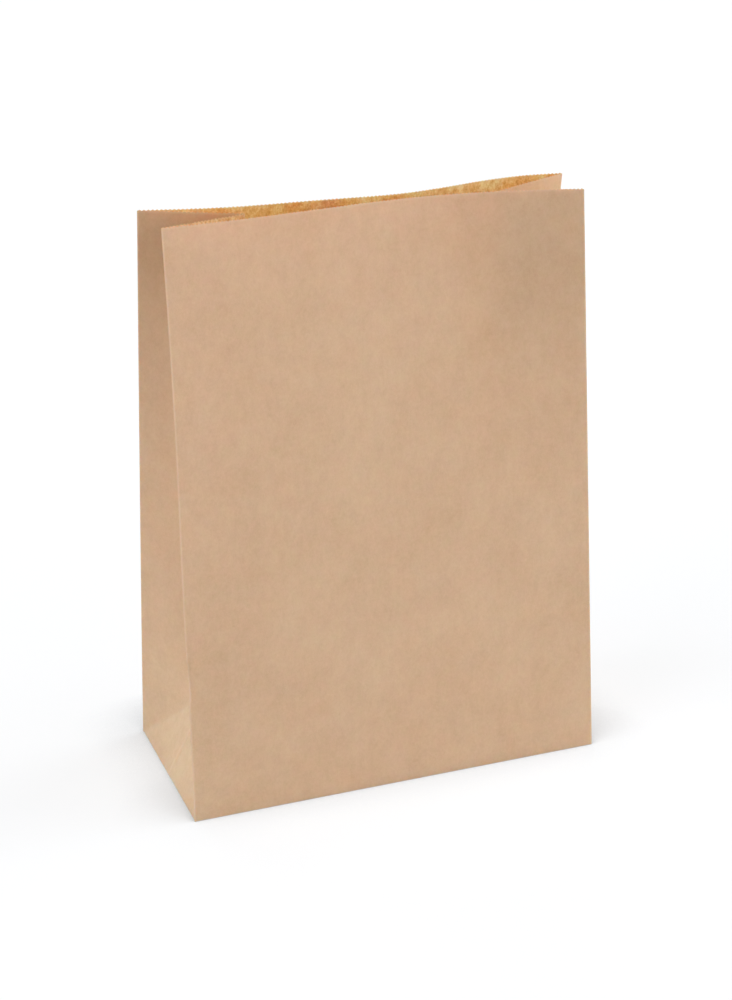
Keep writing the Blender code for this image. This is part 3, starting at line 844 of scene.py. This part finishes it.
# soft boxes: strength in W per square metre, spread in degrees, and where the light comes from
lamps = {
    "leftBox": (1.58, 50, (-1.0, -0.2, 0.7)),
    "rightBox": (1.58, 50, (1.0, 0.0, 0.7)),
    "frontBox": (1.31, 50, (0.7, -0.9, 0.25)),
    "lowFill": (0.27, 50, (-1.0, -0.3, 0.15)),
    "backBox": (0.59, 50, (0.0, 1.0, 0.8)),
    "topFill": (0.20, 90, (0.0, -0.1, 1.0)),
}


def makeFloor():
    size = studio["floorSize"] / 2
    data = bpy.data.meshes.new("floor")
    corners = [(-size, -size, 0), (size, -size, 0), (size, size, 0), (-size, size, 0)]
    data.from_pydata(corners, [], [(0, 1, 2, 3)])
    floor = bpy.data.objects.new("floor", data)
    bpy.context.scene.collection.objects.link(floor)
    material = bpy.data.materials.new("paleFloor")
    material.use_nodes = True
    tree = material.node_tree
    tree.nodes.clear()
    path = addNode(tree, "LightPath")
    diffuse = addNode(tree, "BsdfDiffuse", inputs={"Color": hexColour(studio["floorColour"])})
    lean = addNode(tree, "CombineXYZ", inputs=dict(enumerate(studio["contactLean"])))
    clear = studio["floorGlow"]
    for kind in ("contact", "crevice"):
        near = addNode(tree, "AmbientOcclusion", {"samples": studio["contactSamples"]}, {
            "Distance": studio[kind + "Reach"], "Normal": lean.outputs[0]})
        share = addNode(tree, "Math", {"operation": "MULTIPLY_ADD"}, {
            0: near.outputs["AO"], 1: studio[kind + "Depth"], 2: 1 - studio[kind + "Depth"]})
        glow = addNode(tree, "Math", {"operation": "MULTIPLY"}, {0: share.outputs[0], 1: clear})
        clear = glow.outputs[0]
    light = addNode(tree, "Emission", inputs={"Strength": clear})
    dark = addNode(tree, "Emission", inputs={"Strength": 0.0})
    cast = addNode(tree, "MixShader", inputs={
        0: studio["shadowShare"], 1: dark.outputs[0], 2: diffuse.outputs[0]})
    seen = addNode(tree, "AddShader", inputs={0: cast.outputs[0], 1: light.outputs[0]})
    both = addNode(tree, "MixShader", inputs={
        0: path.outputs["Is Camera Ray"], 1: diffuse.outputs[0], 2: seen.outputs[0]})
    addNode(tree, "OutputMaterial", inputs={"Surface": both.outputs[0]})
    data.materials.append(material)


def makeWorld():
    world = bpy.data.worlds.new("studio")
    bpy.context.scene.world = world
    world.use_nodes = True
    tree = world.node_tree
    tree.nodes.clear()
    path = addNode(tree, "LightPath")
    shiny = addNode(tree, "Math", {"operation": "MAXIMUM"}, {
        0: path.outputs["Is Glossy Ray"], 1: path.outputs["Is Transmission Ray"]})
    seen = addNode(tree, "Math", {"operation": "MAXIMUM"}, {
        0: path.outputs["Is Camera Ray"], 1: shiny.outputs[0]})
    dim = addNode(tree, "Background", inputs={
        "Color": (1, 1, 1, 1), "Strength": studio["worldLight"]})
    white = addNode(tree, "Background", inputs={"Color": (1, 1, 1, 1), "Strength": 1.0})
    both = addNode(tree, "MixShader", inputs={
        0: seen.outputs[0], 1: dim.outputs[0], 2: white.outputs[0]})
    addNode(tree, "OutputWorld", inputs={"Surface": both.outputs[0]})


def makeLamp(name, strength, spread, comesFrom):
    data = bpy.data.lights.new(name, "SUN")
    data.energy = strength
    data.angle = radians(spread)
    lamp = bpy.data.objects.new(name, data)
    bpy.context.scene.collection.objects.link(lamp)
    lamp.rotation_euler = Vector(comesFrom).to_track_quat("Z", "Y").to_euler()


camera = {
    "place": (-0.4940, -1.2580, 0.7771),
    "yaw": 20.906, "pitch": 23.128, "roll": 0.293,     # degrees: right of +Y, down, and tilt
    "lens": 71.61, "sensor": 36, "shiftX": 0.0146, "shiftY": 0.0015,
}


def makeCamera():
    yaw, pitch, roll = (radians(camera[name]) for name in ("yaw", "pitch", "roll"))
    forward = Vector((sin(yaw) * cos(pitch), cos(yaw) * cos(pitch), -sin(pitch)))
    right = Vector((cos(yaw), -sin(yaw), 0))
    up = right.cross(forward)
    tiltedRight = cos(roll) * right + sin(roll) * up
    tiltedUp = -sin(roll) * right + cos(roll) * up
    data = bpy.data.cameras.new("camera")
    data.lens = camera["lens"]
    data.sensor_width = camera["sensor"]
    data.shift_x = camera["shiftX"]
    data.shift_y = camera["shiftY"]
    viewer = bpy.data.objects.new("camera", data)
    bpy.context.scene.collection.objects.link(viewer)
    viewer.matrix_world = Matrix.Translation(camera["place"]) @ Matrix(
        (tiltedRight, tiltedUp, -forward)).transposed().to_4x4()
    bpy.context.scene.camera = viewer


makeFloor()
makeWorld()
for name, (strength, spread, comesFrom) in lamps.items():
    makeLamp(name, strength, spread, comesFrom)
makeCamera()
bpy.context.scene.view_settings.view_transform = "Standard"
print("studio ready")
